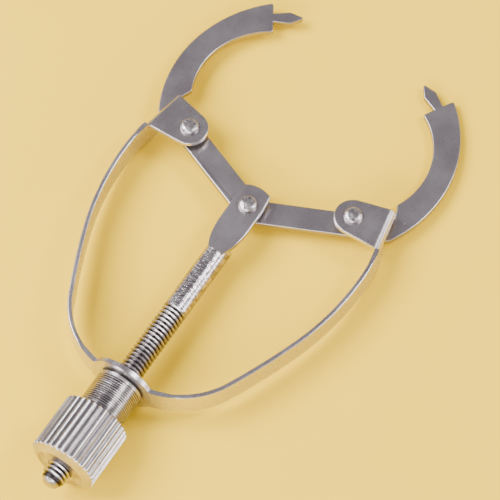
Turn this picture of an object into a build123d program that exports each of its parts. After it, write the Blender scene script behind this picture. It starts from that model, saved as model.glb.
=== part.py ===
from build123d import *
import math
import os

os.makedirs("parts", exist_ok=True)

# Adjustable laboratory clamp head with two curved fingers.
# Millimetres and degrees.  The screw runs along Y and +Y points to the jaws.
# The origin is the middle of the grip sleeve, and Z = 0 is the mid-plane of the spring frame.

# --- Grip sleeve: the round neck that a boss head holds -------------------------------------
sleeve_length = 12.8
sleeve_radius = 7.4
sleeve_chamfer = 0.4
undercut_width = 0.6                # groove under the frame's base
undercut_depth = 0.7
spigot_radius = 5.6
spigot_clearance = 0.02

# --- Screw: flat blade, shank and thread in one piece ---------------------------------------
thread_major_radius = 3.97          # 5/16 inch rod
thread_pitch = 25.4 / 18            # 18 threads per inch
thread_depth = 0.78
thread_crest_share = 0.16           # flat crest as a share of the pitch
shank_radius = 3.9
smooth_length = 42.0                # centre pin to the start of the thread
screw_stick_out = 6.3               # screw tip beyond the thumb nut at mid travel
screw_tip_length = 1.6              # rounded end beyond the last thread
screw_tip_rim = 0.35                # first, steeper step of the rounded end
screw_tip_share = 0.62              # radius at that step, as a share of the thread root
running_clearance = 0.06            # radial play of the screw in sleeve and nut

blade_half_width = 5.1
blade_tip_reach = 7.3               # centre pin to the end of the blade
blade_tip_half_width = 4.4
blade_tip_crown = 1.1               # rise of the curved end
blade_parallel_length = 8.0         # centre pin to where the sides start to curve in
blade_length = 18.5                 # centre pin to the foot of the blade
blade_foot_half_width = 2.6
blade_thickness = 1.6
blade_play = 0.15                   # between the blade and the lever under it
relief_depth = 15.0                 # centre pin to the step that clears the levers
relief_slope_length = 3.0           # slope from the step down to the full rod

# --- Spring frame: one steel strip on edge, round eye at the base, ends folded into ears ----
strip_thickness = 1.45
strip_height_low = 9.0
strip_height_high = 10.4
strip_taper_below_pin = 20.0        # the taper starts this far below the centre pin
eye_radius = 10.5
eye_flat_half = 9.0
foot_bend_radius = 8.0
foot_angle = 15.0
corner_radius = 27.0
corner_angle = 64.0
side_radius = 225.0
side_angle = 70.0
shoulder_radius = 90.0
shoulder_angle = 90.0
neck_radius = 45.0
bracket_angle = 100.5               # direction of the bracket web, from +X
bracket_lead = 1.5                  # straight strip below the ear
strip_lap = 0.3                     # strip running on into the bracket, so the two are one piece

bracket_length = 15.0
ear_thickness = 1.6
ear_bend_radius = 2.4
ear_nose_radius = 6.0
pivot_from_web = 10.9               # rivet axis to the middle of the web
pivot_from_foot = 8.2               # rivet axis above the lower end of the ear
web_clearance = 0.2                 # web to the side of the lever
web_lever_gap = 0.45                # web above the upper lever, where the lever passes under it

# --- Lever jaws -----------------------------------------------------------------------------
lever_thickness = 2.0
lever_gap = 0.1                     # between the two levers where they cross
lever_width = 8.0
pin_drop = 13.2                     # centre pin below the line of the outer rivets
pin_offset_angle = 0.5              # bar line, above the line from rivet to pin
slot_inward = 2.1                   # travel of the pin along the bar, towards the rivet
slot_end_lead = 1.0                 # the slot runs on past the end of the bar by this much
slot_side_play = 0.55
lever_end_reach = 4.1               # centre pin to the end of the bar, at rest
shoulder_reach = 12.6               # rivet axis to the root shoulder, along the bar
shoulder_lap = 1.0                  # bar running on under the finger's root
grip_radius = 25.0
grip_centre_in = 14.6               # centre of the inner arc, towards the rod from the rivet
grip_centre_up = 24.2               # and above the rivet
back_radius = 43.2
back_centre_in = 24.9
back_centre_up = 22.8
jaw_tip_angle = 59.5                # direction of the end face, from +X
jaw_corner_radius = 0.8
jaw_root_radius = 2.5               # where the bar's lower edge meets the finger's back
tang_length = 9.4
tang_root_width = 2.9
tang_head_width = 4.3
tang_head_share = 0.58
tang_point_width = 0.7

# --- Rivets and spacers ----------------------------------------------------------------------
rivet_radius = 1.8
rivet_head_radius = 2.9
rivet_head_height = 1.7
rivet_fit = 0.05                    # radial play of a lever or spacer on a rivet
spacer_radius = 3.0
stack_play = 0.05                   # axial play between a lever and its spacers

# --- Thumb nut --------------------------------------------------------------------------------
nut_radius = 10.7
nut_straight_length = 17.9
nut_chamfer_length = 1.6
nut_chamfer_width = 2.9
nut_boss_radius = 6.7
nut_boss_height = 0.4
nut_face_gap = 0.1                  # nut boss to sleeve
cut_margin = 1.0                    # tools run this far past the faces they cut
flute_count = 32
flute_depth = 0.6
flute_radius = 0.9

# --- Worked out from the sizes above ----------------------------------------------------------
eye_outer_y = sleeve_length / 2
eye_middle_y = eye_outer_y + strip_thickness / 2
nut_front_y = -sleeve_length / 2 - nut_face_gap - nut_boss_height
nut_end_y = nut_front_y - nut_straight_length - nut_chamfer_length
screw_tip_y = nut_end_y - screw_stick_out
left_lever_z = lever_gap / 2
right_lever_z = -lever_gap / 2 - lever_thickness
levers_top_z = left_lever_z + lever_thickness
blade_low_z = levers_top_z + blade_play
blade_top_z = blade_low_z + blade_thickness
ear_top_z = strip_height_high / 2
ear_low_z = ear_top_z - ear_thickness


def heading(angle):
    """Unit vector in the XY plane at an angle from +X."""
    return Vector(math.cos(math.radians(angle)), math.sin(math.radians(angle)), 0)


def left_of(angle):
    return heading(angle + 90)


# The right half of the strip's middle line, as stretches that follow each other tangentially:
# straight length, or (radius, heading at the end).
strip_bends = [
    (foot_bend_radius, foot_angle),
    (corner_radius, corner_angle),
    (side_radius, side_angle),
    (shoulder_radius, shoulder_angle),
    (neck_radius, bracket_angle),
]


def strip_edge(offset, lap=0.0):
    """One side of the right half of the strip, offset to the left of its middle line.

    Returns its edges and the point on the middle line where the bracket starts."""
    point, angle = Vector(0, eye_middle_y, 0), 0.0
    shift = left_of(angle) * offset
    edges = [Line(point + shift, point + shift + heading(angle) * eye_flat_half)]
    point = point + heading(angle) * eye_flat_half
    for radius, end_angle in strip_bends:
        centre = point + left_of(angle) * radius
        edges.append(CenterArc(centre, radius - offset, angle - 90, end_angle - angle))
        point = centre - left_of(end_angle) * radius
        angle = end_angle
    shift = left_of(angle) * offset
    end = point + heading(angle) * bracket_lead
    edges.append(Line(point + shift, end + heading(angle) * lap + shift))
    return edges, end


web_start = strip_edge(0)[1]
web_along = heading(bracket_angle)
web_inward = left_of(bracket_angle)
pivot = web_start + web_along * pivot_from_foot + web_inward * pivot_from_web
pivot_x = pivot.X
pivot_y = pivot.Y
pin_y = pivot_y - pin_drop
bar_angle = math.degrees(math.atan2(pin_drop, pivot_x)) - pin_offset_angle
pin_distance = math.hypot(pivot_x, pin_drop)
bar_out = heading(bar_angle)
bar_up = left_of(bar_angle)
grip_centre = pivot + Vector(-grip_centre_in, grip_centre_up, 0)
back_centre = pivot + Vector(-back_centre_in, back_centre_up, 0)
tip_up = heading(jaw_tip_angle)
tip_out = left_of(jaw_tip_angle)
tip = grip_centre + tip_up * grip_radius
tip_ray = tip - back_centre
tip_rise = tip_ray.dot(tip_up)
back_tip = tip + tip_up * (math.sqrt(tip_rise ** 2 - tip_ray.length ** 2 + back_radius ** 2) - tip_rise)


def plate(face, thickness, base_z):
    """Flat plate of a plan outline, from base_z upwards."""
    return extrude(Pos(0, 0, base_z) * face, amount=thickness, dir=(0, 0, 1))


def round_bar(radius, y_low, y_high):
    """Cylinder along Y."""
    disc = Plane.XZ.offset(-y_low) * Circle(radius)
    return extrude(disc, amount=-(y_high - y_low))


def make_strip():
    """The curved strip of the right side, tapered in height towards the eye."""
    inner = strip_edge(strip_thickness / 2, strip_lap)[0]
    outer = strip_edge(-strip_thickness / 2, strip_lap)[0]
    start_cap = Line(inner[0] @ 0, outer[0] @ 0)
    end_cap = Line(inner[-1] @ 1, outer[-1] @ 1)
    face = make_face(inner + outer + [start_cap, end_cap])
    low, high = strip_height_low / 2, strip_height_high / 2
    band = extrude(face, amount=high, both=True)
    taper_start, taper_end = pin_y - strip_taper_below_pin, web_start.Y + strip_lap
    side = Polygon(
        (0, -low), (taper_start, -low), (taper_end, -high),
        (taper_end, high), (taper_start, low), (0, low), align=None)
    mask = extrude(Plane.YZ * side, amount=2 * pivot_x)
    return band & mask


def fold_corner(sketch):
    """The corner of a bracket section where the web turns into the ear."""
    return sketch.vertices().sort_by(Axis.X)[:2].sort_by(Axis.Y)[-1]


def make_bracket():
    """The end of the strip: a web whose upper edge is folded inwards as one flat ear."""
    outer_corner = web_start - web_inward * (strip_thickness / 2)
    section_plane = Plane(origin=outer_corner, x_dir=web_inward, z_dir=web_along)
    depth = pivot_from_web + ear_nose_radius + strip_thickness
    outline = Pos(depth / 2, 0) * Rectangle(depth, strip_height_high)
    outline = fillet(fold_corner(outline), ear_bend_radius)
    hollow_height = strip_height_high - ear_thickness
    hollow = Rectangle(depth, hollow_height, align=(Align.MIN, Align.CENTER))
    hollow = Pos(strip_thickness, -ear_thickness / 2) * hollow
    hollow = fillet(fold_corner(hollow), ear_bend_radius - ear_thickness)
    channel = extrude(section_plane * (outline - hollow), amount=bracket_length)

    web_end = outer_corner + web_along * bracket_length
    web_line = Line(outer_corner, web_end)
    nose = CenterArc(pivot, ear_nose_radius, 0, 360)
    ear_plan = make_hull([web_line, nose])
    channel = channel & plate(ear_plan, strip_height_high, -ear_top_z)

    cut_start = web_start + web_along * (pivot_from_foot - lever_width / 2 - web_clearance)
    cut_plan = Pos(cut_start) * Rot(0, 0, bracket_angle - 90)
    cut_plan = cut_plan * Rectangle(2 * depth, bracket_length, align=(Align.CENTER, Align.MIN))
    cut = plate(cut_plan, levers_top_z + web_lever_gap + ear_top_z, -ear_top_z)
    hole = Pos(pivot_x, pivot_y, ear_top_z) * Cylinder(rivet_radius, 4 * ear_thickness)
    return channel - cut - hole


def make_spring_frame():
    """Strip, brackets and the round widened base with its hole for the sleeve's spigot."""
    side = make_strip() + make_bracket()
    eye = round_bar(eye_radius, eye_outer_y, eye_outer_y + strip_thickness)
    hole = round_bar(spigot_radius + spigot_clearance, 0, eye_outer_y + 2 * strip_thickness)
    return side + mirror(side, about=Plane.YZ) + eye - hole


def make_sleeve():
    body = round_bar(sleeve_radius, -sleeve_length / 2, sleeve_length / 2)
    body = chamfer(body.edges().filter_by(GeomType.CIRCLE).sort_by(Axis.Y)[0], sleeve_chamfer)
    spigot = round_bar(spigot_radius, 0, eye_outer_y + strip_thickness)
    undercut = round_bar(2 * sleeve_radius, eye_outer_y - undercut_width, eye_outer_y)
    undercut = undercut - round_bar(sleeve_radius - undercut_depth, 0, sleeve_length)
    bore = round_bar(thread_major_radius + running_clearance, -sleeve_length, sleeve_length)
    return body - undercut + spigot - bore


def thread_profile():
    """Half section of shank and thread, with the thread as rings of the true pitch and depth."""
    root = thread_major_radius - thread_depth
    crest = thread_pitch * thread_crest_share
    flank = (thread_pitch - 2 * crest) / 2
    thread_foot = screw_tip_y + screw_tip_length
    rings = int((pin_y - smooth_length - thread_foot) / thread_pitch)
    points = [(0, screw_tip_y), (root * screw_tip_share, screw_tip_y + screw_tip_rim), (root, thread_foot)]
    for ring in range(rings):
        y = thread_foot + ring * thread_pitch
        points.append((thread_major_radius, y + flank))
        points.append((thread_major_radius, y + flank + crest))
        points.append((root, y + 2 * flank + crest))
        points.append((root, y + thread_pitch))
    thread_top = thread_foot + rings * thread_pitch
    points.append((shank_radius, thread_top + flank))
    points.append((shank_radius, pin_y - blade_parallel_length))
    points.append((0, pin_y - blade_parallel_length))
    return make_face(Polyline(*points, close=True))


def blade_outline():
    """Leaf-shaped plan of the blade: parallel beside the pin and narrowing into the shank."""
    shoulder = pin_y + blade_tip_reach - blade_tip_crown
    bend = pin_y - blade_parallel_length
    foot = pin_y - blade_length
    half, tip_half, foot_half = blade_half_width, blade_tip_half_width, blade_foot_half_width
    return make_face([
        ThreePointArc((tip_half, shoulder), (0, shoulder + blade_tip_crown), (-tip_half, shoulder)),
        Line((-tip_half, shoulder), (-half, pin_y)),
        Line((-half, pin_y), (-half, bend)),
        TangentArc((-half, bend), (-foot_half, foot), tangent=(0, -1)),
        Line((-foot_half, foot), (foot_half, foot)),
        TangentArc((half, bend), (foot_half, foot), tangent=(0, -1)),
        Line((half, bend), (half, pin_y)),
        Line((half, pin_y), (tip_half, shoulder)),
    ])


def make_screw():
    """Flat blade, smooth shank and threaded rod in one piece.

    The rod is cut away under the blade, where the two levers cross."""
    rod = revolve(thread_profile(), Axis.Y)
    step, foot = pin_y - relief_depth, pin_y - relief_depth - relief_slope_length
    relief = Polygon(
        (foot, -2 * shank_radius), (step, blade_low_z), (pin_y, blade_low_z),
        (pin_y, -2 * shank_radius), align=None)
    relief = extrude(Plane.YZ * relief, amount=2 * shank_radius, both=True)
    crown = Pos(0, pin_y, blade_top_z) * Box(
        4 * shank_radius, 2 * blade_length, 2 * shank_radius, align=(Align.CENTER, Align.CENTER, Align.MIN))
    blade = plate(blade_outline(), blade_thickness, blade_low_z)
    hole = Pos(0, pin_y, blade_top_z) * Cylinder(rivet_radius, 4 * blade_thickness)
    return rod - relief - crown + blade - hole


def flat(point):
    return point.X, point.Y


def back_disc():
    """The circle that bounds the back of the finger and the outer end of the bar."""
    return Pos(back_centre) * Circle(back_radius)


def bar_outline():
    """The lever's straight bar, from its rounded end past the centre pin to the root shoulder."""
    inner_end = pin_distance + lever_end_reach
    outer_end = shoulder_reach + shoulder_lap
    half = lever_width / 2
    round_end = Pos(-inner_end + half, 0) * Circle(half)
    straight = Rectangle(inner_end - half + outer_end, lever_width, align=(Align.MIN, Align.CENTER))
    bar = round_end + Pos(-inner_end + half, 0) * straight
    return Pos(pivot) * Rot(0, 0, bar_angle) * bar & back_disc()


def finger_outline():
    """The curved finger: outside the grip circle, inside the back circle, from root to end face."""
    finger = back_disc() - Pos(grip_centre) * Circle(grip_radius)
    root = pivot + bar_out * shoulder_reach
    below = root - bar_up * lever_width
    window = Polygon(
        flat(below), flat(below + bar_out * back_radius), flat(tip + tip_up * back_radius),
        flat(tip), flat(tip - tip_up * cut_margin), flat(root + bar_up * grip_radius / 2), align=None)
    return finger & window


def tang_outline():
    """Spear-shaped tongue standing out of the end face, for a push-on finger sleeve."""
    middle = (tip + back_tip) * 0.5
    root_half, head_half = tang_root_width / 2, tang_head_width / 2
    point_half = tang_point_width / 2
    head = tang_length * tang_head_share
    corners = [
        middle - tip_out - tip_up * root_half, middle - tip_out + tip_up * root_half,
        middle + tip_out * head + tip_up * head_half, middle + tip_out * tang_length + tip_up * point_half,
        middle + tip_out * tang_length - tip_up * point_half, middle + tip_out * head - tip_up * head_half,
    ]
    return Polygon(*[flat(corner) for corner in corners], align=None)


def make_right_jaw(base_z):
    """The right lever jaw: bar with pivot hole and open pin slot, finger and tang, from one plate."""
    plan = bar_outline() + finger_outline()
    inner_root = pivot + bar_out * shoulder_reach + bar_up * lever_width
    outer_root = pivot + bar_out * (shoulder_reach + shoulder_lap) - bar_up * lever_width / 2
    corners = ((inner_root, jaw_corner_radius), (outer_root, jaw_root_radius),
               (tip, jaw_corner_radius), (back_tip, jaw_corner_radius))
    for corner, radius in corners:
        plan = fillet(plan.vertices().sort_by_distance(corner)[0], radius)
    slot_outward = lever_end_reach + slot_end_lead + lever_width / 2
    slot_middle = pivot - bar_out * (pin_distance + (slot_outward - slot_inward) / 2)
    slot = SlotCenterToCenter(slot_outward + slot_inward, 2 * (rivet_radius + slot_side_play))
    slot = Pos(slot_middle) * Rot(0, 0, bar_angle) * slot
    hole = Pos(pivot) * Circle(rivet_radius + rivet_fit)
    body = plate(plan - slot - hole, lever_thickness, base_z)
    return body + plate(tang_outline(), lever_thickness, base_z)


def make_rivet(x, y, grip_top, grip_bottom):
    """Rivet along Z with a domed head at each end of its grip."""
    dome_radius = (rivet_head_radius ** 2 + rivet_head_height ** 2) / (2 * rivet_head_height)
    half_plan = make_face([
        Line((0, 0), (rivet_head_radius, 0)),
        RadiusArc((rivet_head_radius, 0), (0, rivet_head_height), -dome_radius),
        Line((0, rivet_head_height), (0, 0)),
    ])
    head = revolve(Plane.XZ * half_plan, Axis.Z)
    shank = Pos(0, 0, grip_bottom) * extrude(Circle(rivet_radius), amount=grip_top - grip_bottom)
    top = Pos(0, 0, grip_top) * head
    bottom = Pos(0, 0, grip_bottom) * Rot(180, 0, 0) * head
    return Pos(x, y, 0) * (shank + top + bottom)


def make_spacer(x, y, bottom, top):
    ring = Circle(spacer_radius) - Circle(rivet_radius + rivet_fit)
    return Pos(x, y, bottom) * extrude(ring, amount=top - bottom)


def make_thumb_nut():
    """Fluted nut with a chamfered end face and a low boss that bears on the sleeve."""
    step = 360 / flute_count
    bottom_radius = nut_radius - flute_depth
    flutes = PolarLocations(bottom_radius + flute_radius, flute_count, step / 2)
    plan = Circle(nut_radius) - flutes * Circle(flute_radius)
    length = nut_straight_length + nut_chamfer_length
    body = extrude(Plane.XZ.offset(-nut_front_y) * plan, amount=length)
    outside, above = nut_radius + cut_margin, nut_front_y + cut_margin
    cone = make_face(Polyline(
        (0, above), (outside, above),
        (outside, nut_end_y + nut_chamfer_length), (nut_radius, nut_end_y + nut_chamfer_length),
        (nut_radius - nut_chamfer_width, nut_end_y), (0, nut_end_y), close=True))
    body = body & revolve(cone, Axis.Y)
    body = body + round_bar(nut_boss_radius, nut_front_y - cut_margin, nut_front_y + nut_boss_height)
    return body - round_bar(thread_major_radius + running_clearance, nut_end_y - cut_margin, 0)


def as_solid(shape):
    """The one solid of a shape that may be wrapped in a compound."""
    solids = shape.solids()
    return solids[0] if len(solids) == 1 else shape


nodes = {
    "spring_frame": make_spring_frame(),
    "grip_sleeve": make_sleeve(),
    "draw_screw": make_screw(),
    "thumb_nut": make_thumb_nut(),
    "right_jaw": make_right_jaw(right_lever_z),
    "left_jaw": mirror(make_right_jaw(left_lever_z), about=Plane.YZ),
    "centre_rivet": make_rivet(0, pin_y, blade_top_z, right_lever_z - stack_play),
    "left_rivet": make_rivet(-pivot_x, pivot_y, ear_top_z, left_lever_z - stack_play),
    "right_rivet": make_rivet(pivot_x, pivot_y, ear_top_z, right_lever_z - stack_play),
}
for side, x, lever_z in (("left", -pivot_x, left_lever_z), ("right", pivot_x, right_lever_z)):
    bottom = lever_z + lever_thickness + stack_play
    nodes[side + "_spacer"] = make_spacer(x, pivot_y, bottom, ear_low_z)

for name, shape in nodes.items():
    export_step(as_solid(shape), f"parts/{name}.step")
print("pivot", round(pivot_x, 3), round(pivot_y, 3), "pin_y", round(pin_y, 3))
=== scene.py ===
"""Looks of an adjustable laboratory clamp head: plated steel parts, floor, light and camera."""
import math

import bmesh
import bpy
from mathutils import Matrix, Vector


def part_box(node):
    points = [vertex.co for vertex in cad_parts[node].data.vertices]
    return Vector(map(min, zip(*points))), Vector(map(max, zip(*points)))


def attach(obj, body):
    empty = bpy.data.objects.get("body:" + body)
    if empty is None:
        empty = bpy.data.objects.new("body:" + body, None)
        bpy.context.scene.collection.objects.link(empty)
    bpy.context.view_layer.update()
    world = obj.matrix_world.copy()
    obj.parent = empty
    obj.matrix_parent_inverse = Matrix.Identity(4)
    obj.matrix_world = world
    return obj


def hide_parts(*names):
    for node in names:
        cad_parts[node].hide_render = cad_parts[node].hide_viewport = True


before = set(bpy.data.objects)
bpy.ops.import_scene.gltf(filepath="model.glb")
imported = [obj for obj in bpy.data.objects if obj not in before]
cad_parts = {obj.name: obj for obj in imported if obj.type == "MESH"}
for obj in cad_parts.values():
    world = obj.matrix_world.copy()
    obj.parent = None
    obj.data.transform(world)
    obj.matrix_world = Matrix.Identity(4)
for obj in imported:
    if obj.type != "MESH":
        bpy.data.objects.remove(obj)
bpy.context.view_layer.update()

MM = 0.001

# --- Sizes of the visual parts, in millimetres ----------------------------------------------
WELD = 0.002                        # corners closer than this become one
FLAT_ANGLE = 0.6                    # degrees within which faces count as one flat face
SHADING_ANGLE = 38                  # degrees from which an edge is shaded sharp

THREAD_PITCH = 25.4 / 18
THREAD_RADIUS = 3.97
THREAD_DEPTH = 0.86
THREAD_ROOT = THREAD_RADIUS - THREAD_DEPTH
CREST_FLAT = THREAD_PITCH * 0.14
CREST_ROUNDING = 0.05
ROOT_ROUNDING = (0.06, 0.1)         # outwards, along the axis
THREAD_STEPS = 64                   # for each turn
THREAD_START_BELOW_PIN = 42.0
THREAD_RUNOUT = 0.9                 # the thread runs on into the shank by this much
SHANK_FOOT = 0.8                    # the shank ends this far above the thread's start
THREAD_ABOVE_TIP = 0.9
TIP_TAPER_SHARE = 0.8               # thread radius where the taper starts, as a share of the root
TIP_TAPER = 0.6                     # and how much it widens for each millimetre along the axis
# Outline of the rounded tip: share of the root radius, height above the tip.
TIP_CAP = [(0, 0), (0.3, 0.05), (0.5, 0.2), (0.68, 0.5), (0.82, 0.95), (0.82, 1.2)]

BLADE_LENGTH = 18.3
BLADE_RIM_BELOW_PIN = 14.5
BLADE_EDGE = 0.4

SLEEVE_BORE_RADIUS = 4.03
SLEEVE_CHAMFER = 0.4
SPIGOT_RADIUS = 5.6
SPIGOT_CHAMFER = 0.15
FIRST_GROOVE = 0.55                 # above the sleeve's lower end
GROOVE_PITCH = 0.72
GROOVE_DEPTH = 0.28
GROOVE_FLANK = 0.22
GROOVE_FLOOR = 0.08
LAST_GROOVE_MARGIN = 0.2
UNDERCUT_WIDTH = 0.6
UNDERCUT_DEPTH = 0.7
NECK_CHAMFER = 0.1

RIVET_HEAD_RADIUS = 2.9
RIVET_HEAD_HEIGHT = 1.7
RIVET_SHANK_RADIUS = 1.8
# Outline of a head from its top: share of the radius, share of the height.
RIVET_CROWN = [(0, 0), (0.5, 0.03), (0.74, 0.11), (0.89, 0.27), (0.97, 0.52), (0.99, 0.8), (0.97, 1)]

STRIP_EDGE = 0.42
STRIP_RIM_START = 9.0
STRIP_RIM_END = 80.5
STRIP_HALF_HEIGHT = 5.2
EAR_UNDERSIDE = 3.4
EAR_FOLD_START = 40.3
PLATE_EDGE = 0.32

NUT_CHAMFER_LENGTH = 1.6
FLUTE_EDGE = 0.14
FLOOR_HALF_WIDTH = 1600.0
FLOOR_GAP = 0.02

# Distances from the screw axis between which the turned pieces get painted shade in their grooves and
# recesses.
SCREW_PAINTED_SHADE_RADII = (THREAD_ROOT - 0.4, THREAD_ROOT, THREAD_RADIUS - 0.15)
SLEEVE_PAINTED_SHADE_RADII = (5.7, 7.13, 7.4)
CORE_FADE = 0.2
# For the nut: radii and lengths of the painted shade in its flute valleys and of the painted reflection on
# its end face.
NUT_REFLECTION_RADII = (7.7, 7.85)
NUT_RIM_RADII = (9.3, 9.9)
NUT_VALLEY_RADII = (10.12, 10.5)
NUT_VALLEY_START = NUT_CHAMFER_LENGTH + 0.1
NUT_VALLEY_FADE = 0.3
NUT_REFLECTION_FADE = 1.0


def in_metres(lengths):
    return [length * MM for length in lengths]


# --- Shader wires ---------------------------------------------------------------------------
class Wire:
    """One shader output. Sums, products and comparisons of wires add Math nodes."""

    def __init__(self, finish, socket):
        self.finish = finish
        self.socket = socket

    def math(self, operation, first, second):
        return self.finish.node("ShaderNodeMath", {"operation": operation}, {0: first, 1: second})

    def __add__(self, other):
        return self.math("ADD", self, other)

    def __radd__(self, other):
        return self.math("ADD", other, self)

    def __sub__(self, other):
        return self.math("SUBTRACT", self, other)

    def __rsub__(self, other):
        return self.math("SUBTRACT", other, self)

    def __mul__(self, other):
        return self.math("MULTIPLY", self, other)

    def __rmul__(self, other):
        return self.math("MULTIPLY", other, self)


class Finish:
    """A metal or paper finish built from shader nodes on object coordinates."""

    def __init__(self, name, **constants):
        self.material = bpy.data.materials.new(name)
        self.material.use_nodes = True
        self.tree = self.material.node_tree
        self.surface = self.tree.nodes["Principled BSDF"]
        for socket, value in constants.items():
            self.surface.inputs[socket.replace("_", " ")].default_value = value

    def node(self, kind, settings=None, sockets=None, output=0):
        """Adds a node: its settings first, then the values or wires of its sockets."""
        made = self.tree.nodes.new(kind)
        for setting, value in (settings or {}).items():
            setattr(made, setting, value)
        for socket, value in (sockets or {}).items():
            if isinstance(value, Wire):
                self.tree.links.new(value.socket, made.inputs[socket])
            else:
                made.inputs[socket].default_value = value
        return Wire(self, made.outputs[output])

    def place(self, scale=(1, 1, 1)):
        """Object coordinates, stretched by a scale for each axis."""
        spot = self.node("ShaderNodeTexCoord", output="Object")
        return self.node("ShaderNodeMapping", {}, {"Vector": spot, "Scale": scale})

    def coordinate(self, axis):
        """One of the object coordinates X, Y and Z in metres."""
        spot = self.node("ShaderNodeTexCoord", output="Object")
        return self.node("ShaderNodeSeparateXYZ", {}, {0: spot}, output=axis)

    def upright(self):
        """0 where the surface lies flat and 1 where it stands upright."""
        facing = self.node("ShaderNodeTexCoord", output="Normal")
        height = self.node("ShaderNodeSeparateXYZ", {}, {0: facing}, output="Z")
        return 1.0 - self.node("ShaderNodeMath", {"operation": "ABSOLUTE"}, {0: height})

    def axis_distance(self):
        """Distance from the screw axis in metres."""
        spot = self.node("ShaderNodeTexCoord", output="Object")
        across = self.node("ShaderNodeVectorMath", {"operation": "MULTIPLY"}, {0: spot, 1: (1, 0, 1)})
        return self.node("ShaderNodeVectorMath", {"operation": "LENGTH"}, {0: across}, output="Value")

    def noise(self, per_metre, stretch=(1, 1, 1), detail=3.0):
        return self.node("ShaderNodeTexNoise", {"noise_dimensions": "3D"}, {
            "Vector": self.place(stretch), "Scale": per_metre, "Detail": detail, "Roughness": 0.55})

    def band(self, wire, low, high):
        """0 below low and 1 above high, with a smooth step between them."""
        return self.node("ShaderNodeMapRange", {"interpolation_type": "SMOOTHSTEP"}, {
            "Value": wire, "From Min": low, "From Max": high, "To Min": 0.0, "To Max": 1.0})

    def mix(self, share, first, second):
        return self.node("ShaderNodeMix", {"data_type": "RGBA"}, {0: share, 6: first, 7: second}, output=2)

    def bump(self, height, distance, strength=1.0, under=None):
        sockets = {"Height": height, "Distance": distance, "Strength": strength}
        if under is not None:
            sockets["Normal"] = under
        return self.node("ShaderNodeBump", {}, sockets, output="Normal")

    def feed(self, **wires):
        for socket, wire in wires.items():
            self.tree.links.new(wire.socket, self.surface.inputs[socket.replace("_", " ")])
        return self.material


def plated_strip():
    """Satin nickel over rolled spring steel: long faint rolling lines, mottling and small nicks, with
    upright faces painted lighter as a painted reflection of the floor.
    """
    finish = Finish("plated_strip", Metallic=0.95)
    cloud = finish.noise(120.0, detail=4.0)
    grain = finish.noise(5200.0, stretch=(1, 1, 0.35), detail=2.0)
    lines = finish.noise(900.0, stretch=(0.25, 0.25, 6.0), detail=3.0)
    nicks = finish.band(finish.noise(1900.0, detail=1.0), 0.68, 0.74)
    tone = finish.mix(finish.band(cloud, 0.35, 0.7), (0.37, 0.335, 0.352, 1), (0.45, 0.415, 0.43, 1))
    # Painted reflection: faces that stand upright are lightened, standing in for the bright floor they
    # reflect.
    tone = finish.mix(finish.band(finish.upright(), 0.2, 0.75), tone, (0.72, 0.685, 0.69, 1))
    tone = finish.mix(nicks * 0.45, tone, (0.22, 0.2, 0.21, 1))
    rough = 0.18 + grain * 0.10 + cloud * 0.10 + nicks * 0.12
    fine = finish.bump(grain, 0.000012, 0.7)
    normal = finish.bump(lines - nicks * 0.5, 0.00002, 0.6, under=fine)
    return finish.feed(Base_Color=tone, Roughness=rough, Normal=normal)


def plated_plate():
    """Satin nickel over stamped plate: fine orange peel, cloudy tone, hairline scratches."""
    finish = Finish("plated_plate", Metallic=0.95)
    cloud = finish.noise(90.0, detail=5.0)
    peel = finish.noise(2600.0, detail=3.0)
    hairs = finish.band(finish.noise(700.0, stretch=(9.0, 0.5, 1.0), detail=2.0), 0.63, 0.70)
    specks = finish.band(finish.noise(3100.0, detail=1.0), 0.70, 0.76)
    tone = finish.mix(finish.band(cloud, 0.3, 0.7), (0.35, 0.315, 0.335, 1), (0.43, 0.395, 0.41, 1))
    tone = finish.mix(specks * 0.5, tone, (0.2, 0.18, 0.19, 1))
    rough = 0.2 + cloud * 0.10 + peel * 0.10 - hairs * 0.05
    fine = finish.bump(peel, 0.00002, 0.55)
    normal = finish.bump(hairs + specks * -0.6, 0.000012, 0.5, under=fine)
    return finish.feed(Base_Color=tone, Roughness=rough, Normal=normal)


def turned_steel(name, core, groove, crest):
    """Bright turned steel: tool rings around the screw axis, with painted shade between core and crests.
    """
    finish = Finish(name, Metallic=0.93)
    distance = finish.axis_distance()
    inside = 1.0 - finish.band(distance, core * MM, (core + CORE_FADE) * MM)
    clear_of_painted_shade = inside + finish.band(distance, groove * MM, crest * MM)
    rings = finish.noise(1500.0, stretch=(0.04, 1.6, 0.04), detail=3.0)
    chatter = finish.noise(2100.0, stretch=(0.7, 1.0, 0.7), detail=2.0)
    cloud = finish.noise(150.0, detail=4.0)
    worn = finish.band(cloud + rings * 0.4, 0.45, 0.95)
    tone = finish.mix(worn, (0.36, 0.325, 0.34, 1), (0.62, 0.585, 0.595, 1))
    marks = finish.band(finish.noise(1300.0, stretch=(0.8, 1.5, 0.8), detail=3.0), 0.5, 0.62)
    tone = finish.mix(marks * 0.55, tone, (0.16, 0.14, 0.15, 1))
    # Painted shade: near-black between the core and the crests, standing in for the shade in the thread
    # and ring grooves and the recesses.
    tone = finish.mix(clear_of_painted_shade, (0.03, 0.025, 0.025, 1), tone)
    rough = 0.14 + rings * 0.14 + cloud * 0.08
    fine = finish.bump(chatter, 0.00003, 0.5)
    normal = finish.bump(rings, 0.00009, 0.8, under=fine)
    return finish.feed(Base_Color=tone, Roughness=rough, Normal=normal)


def shank_steel():
    """Dull turned shank: dark plating broken by ragged bright rings from a worn tool."""
    finish = Finish("shank_steel", Metallic=0.95)
    rings = finish.noise(1400.0, stretch=(0.5, 1.7, 0.5), detail=4.0)
    cloud = finish.noise(170.0, detail=3.0)
    worn = finish.band(rings + cloud * 0.3, 0.56, 0.72)
    tone = finish.mix(worn, (0.2, 0.17, 0.185, 1), (0.55, 0.51, 0.525, 1))
    rough = 0.2 + cloud * 0.1 - worn * 0.06
    return finish.feed(Base_Color=tone, Roughness=rough, Normal=finish.bump(rings, 0.00012, 0.9))


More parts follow.
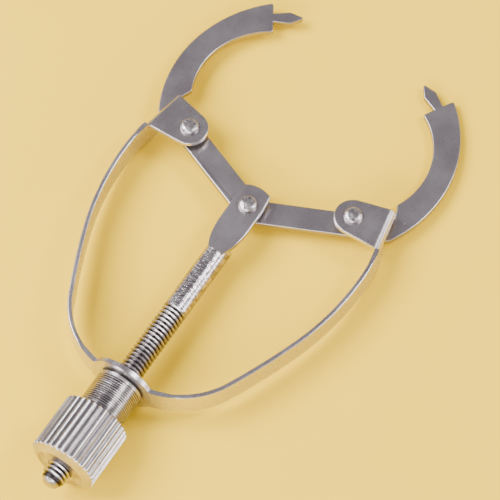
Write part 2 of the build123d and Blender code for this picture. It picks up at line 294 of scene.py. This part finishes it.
def fluted_steel():
    """Bright plated flutes: drawn lines along the axis and a soft mottled tone, with painted shade in the
    flute valleys and a painted reflection on the end face.
    """
    finish = Finish("fluted_steel", Metallic=0.93)
    distance = finish.axis_distance()
    past_rim = finish.band(distance, *in_metres(NUT_RIM_RADII))
    valley_shade = past_rim * (1.0 - finish.band(distance, *in_metres(NUT_VALLEY_RADII)))
    along = finish.coordinate("Y")
    foot = nut_box[0].y + NUT_VALLEY_START * MM
    valley_shade = valley_shade * finish.band(along, foot, foot + NUT_VALLEY_FADE * MM)
    # Painted reflection mask: the end face inside the chamfer, near the nut's lower end.
    end_face_reflection = 1.0 - finish.band(distance, *in_metres(NUT_REFLECTION_RADII))
    end_face_reflection = end_face_reflection * (1.0 - finish.band(along, foot, foot + NUT_REFLECTION_FADE * MM))
    reflection_breakup = finish.noise(260.0, stretch=(1, 0.1, 1), detail=4.0)
    drawn = finish.noise(1700.0, stretch=(1.2, 0.06, 1.2), detail=3.0)
    cloud = finish.noise(160.0, detail=4.0)
    mottle = finish.band(cloud + drawn * 0.3, 0.4, 0.9)
    tone = finish.mix(mottle, (0.46, 0.425, 0.44, 1), (0.66, 0.63, 0.645, 1))
    # Painted shade: the flute valleys are darkened, standing in for the shade between the ridges.
    tone = finish.mix(valley_shade, tone, (0.17, 0.15, 0.16, 1))
    # Painted reflection: a brown tone on the end face, broken up by noise, standing in for the paper and
    # the screw reflected there.
    tone = finish.mix(end_face_reflection * finish.band(reflection_breakup, 0.3, 0.7), tone, (0.26, 0.21, 0.19, 1))
    rough = 0.14 + drawn * 0.12 + cloud * 0.08
    normal = finish.bump(drawn, 0.00003, 0.6)
    return finish.feed(Base_Color=tone, Roughness=rough, Normal=normal)


def polished_rivet():
    """Polished rivet steel with hammer marks left by the setting tool."""
    finish = Finish("polished_rivet", Metallic=0.95)
    dents = finish.noise(900.0, detail=2.0)
    fine_grain = finish.noise(4200.0, detail=2.0)
    tone = finish.mix(finish.band(dents, 0.35, 0.65), (0.3, 0.27, 0.28, 1), (0.52, 0.485, 0.495, 1))
    rough = 0.2 + dents * 0.14 + fine_grain * 0.05
    normal = finish.bump(dents, 0.0005, 0.5)
    return finish.feed(Base_Color=tone, Roughness=rough, Normal=normal)


def cream_paper():
    """Matt cream paper with a trace of fibre."""
    finish = Finish("cream_paper", Specular_IOR_Level=0.0)
    fibre = finish.noise(900.0, detail=4.0)
    cloud = finish.noise(9.0, detail=3.0)
    tone = finish.mix(finish.band(cloud, 0.3, 0.7), (0.86, 0.545, 0.014, 1), (0.90, 0.572, 0.018, 1))
    rough = 0.55 + fibre * 0.1
    return finish.feed(Base_Color=tone, Roughness=rough, Normal=finish.bump(fibre, 0.00005, 0.25))


# --- Making of pieces -----------------------------------------------------------------------
def piece(name, bm, material, body, stands_for):
    """Turns a bmesh into a finished piece on its body, in place of its CAD node."""
    mesh = bpy.data.meshes.new(name)
    bmesh.ops.recalc_face_normals(bm, faces=bm.faces)
    bm.to_mesh(mesh)
    bm.free()
    for face in mesh.polygons:
        face.use_smooth = True
    mesh.set_sharp_from_angle(angle=math.radians(SHADING_ANGLE))
    made = bpy.data.objects.new(name, mesh)
    bpy.context.scene.collection.objects.link(made)
    mesh.materials.append(material)
    weighting = made.modifiers.new("face_weighting", "WEIGHTED_NORMAL")
    weighting.keep_sharp = True
    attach(made, body)
    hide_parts(stands_for)
    return made


def weld(bm, distance=WELD):
    """Merges corners closer than the distance in millimetres."""
    bmesh.ops.remove_doubles(bm, verts=bm.verts, dist=distance * MM)


def cad_copy(node):
    """The CAD piece as a bmesh with merged corners and whole flat faces."""
    bm = bmesh.new()
    bm.from_mesh(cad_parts[node].data)
    weld(bm)
    bmesh.ops.dissolve_limit(bm, angle_limit=math.radians(FLAT_ANGLE), verts=bm.verts, edges=bm.edges)
    return bm


def round_edges(bm, width, sharp=35, segments=3, keep=None):
    """Rounds every edge sharper than so many degrees that keep allows."""
    edges = [e for e in bm.edges if e.is_manifold and e.calc_face_angle() > math.radians(sharp)
             and (keep is None or keep(e))]
    bmesh.ops.bevel(bm, geom=edges, offset=width * MM, offset_type="OFFSET", segments=segments,
                    profile=0.5, affect="EDGES", clamp_overlap=False, material=-1)


def outline(bm, section):
    """Corners and edges of a section of (radius, y) points in millimetres."""
    corners = [bm.verts.new((radius * MM, y * MM, 0)) for radius, y in section]
    return corners + [bm.edges.new(pair) for pair in zip(corners, corners[1:])]


def turned(bm, section, steps):
    """Revolves a section of (radius, y) points in millimetres about the screw axis."""
    bmesh.ops.spin(bm, geom=outline(bm, section), cent=(0, 0, 0), axis=(0, 1, 0), steps=steps,
                   angle=2 * math.pi, use_merge=True)


def cut_across(bm, height, side):
    """Cuts at a height in millimetres, keeps what is above (1) or below (-1), and gives the open rim."""
    everything = bm.verts[:] + bm.edges[:] + bm.faces[:]
    bmesh.ops.bisect_plane(bm, geom=everything, plane_co=(0, height * MM, 0),
                           plane_no=(0, side, 0), clear_inner=True)
    return [e for e in bm.edges if e.is_boundary]


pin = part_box("centre_rivet")
pin_y = (pin[0].y + pin[1].y) / 2 / MM
screw_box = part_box("draw_screw")
sleeve_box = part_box("grip_sleeve")
nut_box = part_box("thumb_nut")
tip_y = screw_box[0].y / MM


def add_thread(bm, bottom, top):
    """Adds a true helical thread between two heights, tapered at its lower end."""
    flank = (THREAD_PITCH - 2 * CREST_FLAT) / 2
    start = bottom - THREAD_PITCH
    out, along = ROOT_ROUNDING
    crest = start + flank
    section = [(THREAD_ROOT, start), (THREAD_ROOT + out, start + along),
               (THREAD_RADIUS - CREST_ROUNDING, crest), (THREAD_RADIUS, crest + CREST_FLAT / 2),
               (THREAD_RADIUS - CREST_ROUNDING, crest + CREST_FLAT),
               (THREAD_ROOT + out, crest + CREST_FLAT + flank - along),
               (THREAD_ROOT, crest + CREST_FLAT + flank), (THREAD_ROOT, start + THREAD_PITCH)]
    thread = bmesh.new()
    bmesh.ops.spin(thread, geom=outline(thread, section), cent=(0, 0, 0), axis=(0, 1, 0),
                   dvec=(0, THREAD_PITCH * MM / THREAD_STEPS, 0), steps=THREAD_STEPS, angle=-2 * math.pi)
    one_turn = thread.verts[:] + thread.edges[:] + thread.faces[:]
    for turn in range(1, math.ceil((top - bottom) / THREAD_PITCH) + 2):
        copied = bmesh.ops.duplicate(thread, geom=one_turn)["geom"]
        bmesh.ops.translate(thread, vec=(0, THREAD_PITCH * turn * MM, 0),
                            verts=[v for v in copied if isinstance(v, bmesh.types.BMVert)])
    weld(thread, 2 * WELD)
    for vert in thread.verts:
        allowed = (THREAD_ROOT * TIP_TAPER_SHARE + (vert.co.y / MM - bottom) * TIP_TAPER) * MM
        spread = math.hypot(vert.co.x, vert.co.z)
        if spread > allowed:
            vert.co.x *= allowed / spread
            vert.co.z *= allowed / spread
    for height, side in ((bottom, 1), (top, -1)):
        bmesh.ops.holes_fill(thread, edges=cut_across(thread, height, side))
    mesh = bpy.data.meshes.new("thread")
    thread.to_mesh(mesh)
    thread.free()
    bm.from_mesh(mesh)
    bpy.data.meshes.remove(mesh)


def make_screw(material, blade_material, shank_material):
    """Blade and smooth shank from the CAD shape, with a helical thread and a rounded tip."""
    thread_start = pin_y - THREAD_START_BELOW_PIN
    bm = cad_copy("draw_screw")
    bmesh.ops.contextual_create(bm, geom=cut_across(bm, thread_start + SHANK_FOOT, 1))
    rim_start = (pin_y - BLADE_RIM_BELOW_PIN) * MM
    round_edges(bm, BLADE_EDGE, keep=lambda e: all(v.co.y > rim_start for v in e.verts))
    blade_foot = (pin_y - BLADE_LENGTH) * MM
    for face in bm.faces:
        face.material_index = 1 if face.calc_center_median().y > blade_foot else 2

    add_thread(bm, tip_y + THREAD_ABOVE_TIP, thread_start + THREAD_RUNOUT)
    cap = [(THREAD_ROOT * share, tip_y + rise) for share, rise in TIP_CAP]
    turned(bm, cap + [(0, cap[-1][1])], steps=48)
    weld(bm)
    screw = piece("bladed_screw", bm, material, "screw", "draw_screw")
    screw.data.materials.append(blade_material)
    screw.data.materials.append(shank_material)
    return screw


def make_sleeve(material):
    """Neck with fine ring grooves, its spigot through the frame, and the bore."""
    low, high = sleeve_box[0].y / MM, sleeve_box[1].y / MM
    radius = sleeve_box[1].x / MM
    shoulder = -low
    groove = radius - GROOVE_DEPTH
    undercut = radius - UNDERCUT_DEPTH
    section = [(SLEEVE_BORE_RADIUS, low), (radius - SLEEVE_CHAMFER, low), (radius, low + SLEEVE_CHAMFER)]
    y = low + FIRST_GROOVE
    neck = shoulder - UNDERCUT_WIDTH
    while y + GROOVE_PITCH < neck - LAST_GROOVE_MARGIN:
        section += [(radius, y), (groove, y + GROOVE_FLANK), (groove, y + GROOVE_FLANK + GROOVE_FLOOR),
                    (radius, y + 2 * GROOVE_FLANK + GROOVE_FLOOR)]
        y += GROOVE_PITCH
    section += [(radius, neck - NECK_CHAMFER), (radius - NECK_CHAMFER, neck),
                (undercut, neck + NECK_CHAMFER / 2), (undercut, shoulder), (SPIGOT_RADIUS, shoulder),
                (SPIGOT_RADIUS, high - SPIGOT_CHAMFER), (SPIGOT_RADIUS - SPIGOT_CHAMFER, high),
                (SLEEVE_BORE_RADIUS, high), (SLEEVE_BORE_RADIUS, low)]
    bm = bmesh.new()
    turned(bm, section, steps=128)
    weld(bm)
    return piece("grooved_sleeve", bm, material, "frame", "grip_sleeve")


def make_rivet(name, node, body, material):
    """Rivet with two button heads: upright rim, rounded shoulder and low crown."""
    low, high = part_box(node)
    centre = Vector(((low.x + high.x) / 2, (low.y + high.y) / 2, 0))
    crown = [(share * RIVET_HEAD_RADIUS, drop * RIVET_HEAD_HEIGHT) for share, drop in RIVET_CROWN]
    crown.append((RIVET_SHANK_RADIUS, RIVET_HEAD_HEIGHT))
    section = [(radius, high.z / MM - drop) for radius, drop in crown]
    section += [(radius, low.z / MM + drop) for radius, drop in reversed(crown)]
    bm = bmesh.new()
    corners = [bm.verts.new((r * MM, 0, z * MM)) for r, z in section]
    edges = [bm.edges.new(pair) for pair in zip(corners, corners[1:])]
    bmesh.ops.spin(bm, geom=corners + edges, cent=(0, 0, 0), axis=(0, 0, 1), steps=64,
                   angle=2 * math.pi, use_merge=True)
    weld(bm)
    bmesh.ops.translate(bm, verts=bm.verts, vec=centre)
    return piece(name, bm, material, body, node)


def make_nut(material):
    """Fluted nut from the CAD shape with its ridges and rims rounded."""
    bm = cad_copy("thumb_nut")
    round_edges(bm, FLUTE_EDGE, sharp=25, segments=2)
    return piece("fluted_nut", bm, material, "nut", "thumb_nut")


def make_jaw(side, material):
    """Lever plate from the CAD shape with its edges rounded."""
    bm = cad_copy(side + "_jaw")
    round_edges(bm, PLATE_EDGE)
    return piece(side + "_jaw_plate", bm, material, side + "_lever", side + "_jaw")


def strip_rim(edge):
    """True for the strip's long rims and the ears' upper rims, clear of the joins between them."""
    along = [v.co.y / MM for v in edge.verts]
    on_strip = min(along) > STRIP_RIM_START and max(along) < STRIP_RIM_END
    on_ear = (min(along) > STRIP_RIM_END and min(v.co.z / MM for v in edge.verts) > EAR_UNDERSIDE
              and max(abs(v.co.x) / MM for v in edge.verts) < EAR_FOLD_START)
    return on_strip or on_ear


def make_strip(material):
    """Spring strip from the CAD shape with its long rims rounded."""
    bm = cad_copy("spring_frame")
    round_edges(bm, STRIP_EDGE, keep=strip_rim)
    return piece("sprung_strip", bm, material, "frame", "spring_frame")


screw_metal = turned_steel("turned_screw_steel", *SCREW_PAINTED_SHADE_RADII)
turned_metal = turned_steel("turned_sleeve_steel", *SLEEVE_PAINTED_SHADE_RADII)
plate_metal = plated_plate()
rivet_metal = polished_rivet()
make_strip(plated_strip())
make_sleeve(turned_metal)
make_screw(screw_metal, plate_metal, shank_steel())
make_nut(fluted_steel())
make_jaw("left", plate_metal)
make_jaw("right", plate_metal)
make_rivet("centre_button_rivet", "centre_rivet", "screw", rivet_metal)
make_rivet("left_button_rivet", "left_rivet", "frame", rivet_metal)
make_rivet("right_button_rivet", "right_rivet", "frame", rivet_metal)
for spacer in ("left_spacer", "right_spacer"):
    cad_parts[spacer].data.materials.clear()
    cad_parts[spacer].data.materials.append(plate_metal)

# --- Floor ----------------------------------------------------------------------------------
# The floor passes under the nut where its chamfer starts and under the strip beside the outer rivets.
# The nut's other end and the strip's eye dip up to 1.4 mm into it.
nut_foot = Vector((0, nut_box[0].y + NUT_CHAMFER_LENGTH * MM, nut_box[0].z))
strip_foot = Vector((0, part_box("left_rivet")[0].y, -STRIP_HALF_HEIGHT * MM))
slope = math.atan2(strip_foot.z - nut_foot.z, strip_foot.y - nut_foot.y)
floor_mesh = bpy.data.meshes.new("paper")
bm = bmesh.new()
bmesh.ops.create_grid(bm, x_segments=1, y_segments=1, size=FLOOR_HALF_WIDTH * MM)
bmesh.ops.rotate(bm, verts=bm.verts, cent=(0, 0, 0), matrix=Matrix.Rotation(slope, 3, "X"))
bmesh.ops.translate(bm, verts=bm.verts, vec=nut_foot - Vector((0, 0, FLOOR_GAP * MM)))
bm.to_mesh(floor_mesh)
bm.free()
floor = bpy.data.objects.new("paper_floor", floor_mesh)
bpy.context.scene.collection.objects.link(floor)
floor_mesh.materials.append(cream_paper())

# --- Camera ---------------------------------------------------------------------------------
AZIMUTH, ELEVATION = math.radians(32.3), math.radians(60.85)
DISTANCE = 0.878
VIEW_WIDTH = 0.1523926             # metres seen across the picture at the aim
SENSOR_WIDTH = 36.0
toward = Vector((math.sin(AZIMUTH) * math.cos(ELEVATION), -math.cos(AZIMUTH) * math.cos(ELEVATION),
                 math.sin(ELEVATION)))
right = Vector((math.cos(AZIMUTH), math.sin(AZIMUTH), 0))
up = toward.cross(right)
aim = Vector((0, 0.0567, 0)) + right * 0.01135 + up * 0.00279
camera_data = bpy.data.cameras.new("camera")
camera_data.sensor_width = SENSOR_WIDTH
camera_data.lens = DISTANCE / VIEW_WIDTH * SENSOR_WIDTH
camera_data.clip_start = 0.05
camera = bpy.data.objects.new("camera", camera_data)
bpy.context.scene.collection.objects.link(camera)
turn = Matrix((right, up, toward)).transposed().to_4x4()
camera.matrix_world = Matrix.Translation(aim + toward * DISTANCE) @ turn
bpy.context.scene.camera = camera

# --- Light ----------------------------------------------------------------------------------
view_up = Vector((-math.sin(AZIMUTH), math.cos(AZIMUTH), 0))


def soft_light(name, across, along, elevation, distance, size, power):
    """Rectangular lamp in a direction given by shares of view right and view up, aimed at the part."""
    flat = (right * across + view_up * along).normalized()
    rise = math.radians(elevation)
    way = flat * math.cos(rise) + Vector((0, 0, math.sin(rise)))
    data = bpy.data.lights.new(name, "AREA")
    data.shape = "RECTANGLE"
    data.size, data.size_y = size
    data.energy = power
    lamp = bpy.data.objects.new(name, data)
    bpy.context.scene.collection.objects.link(lamp)
    turned_to_part = way.to_track_quat("Z", "Y").to_matrix().to_4x4()
    lamp.matrix_world = Matrix.Translation(aim + way * distance) @ turned_to_part


soft_light("key", across=-1.0, along=0.2, elevation=48, distance=1.1, size=(0.7, 0.7), power=28.0)
soft_light("front", across=-0.6, along=-1.0, elevation=24, distance=0.9, size=(0.9, 0.3), power=11.0)
soft_light("side", across=1.0, along=0.1, elevation=50, distance=1.0, size=(0.3, 0.3), power=7.0)
soft_light("rim", across=1.0, along=-0.12, elevation=14, distance=1.0, size=(0.8, 0.22), power=6.0)

# The world is bright towards the horizon and dim overhead, with its dim side leaning to view up.
WORLD_LEAN = 0.3
WORLD_STOPS = [(0.38, (1.15, 1.11, 1.13, 1)), (0.62, (0.3, 0.28, 0.3, 1))]
world = bpy.data.worlds.new("studio")
world.use_nodes = True
background = world.node_tree.nodes["Background"]
direction = world.node_tree.nodes.new("ShaderNodeTexCoord")
height = world.node_tree.nodes.new("ShaderNodeVectorMath")
height.operation = "DOT_PRODUCT"
height.inputs[1].default_value = view_up * WORLD_LEAN + Vector((0, 0, 1))
ramp = world.node_tree.nodes.new("ShaderNodeValToRGB")
world.node_tree.links.new(direction.outputs["Generated"], height.inputs[0])
world.node_tree.links.new(height.outputs["Value"], ramp.inputs[0])
world.node_tree.links.new(ramp.outputs[0], background.inputs["Color"])
for element, (position, colour) in zip(ramp.color_ramp.elements, WORLD_STOPS):
    element.position = position
    element.color = colour
background.inputs["Strength"].default_value = 1.0
bpy.context.scene.world = world
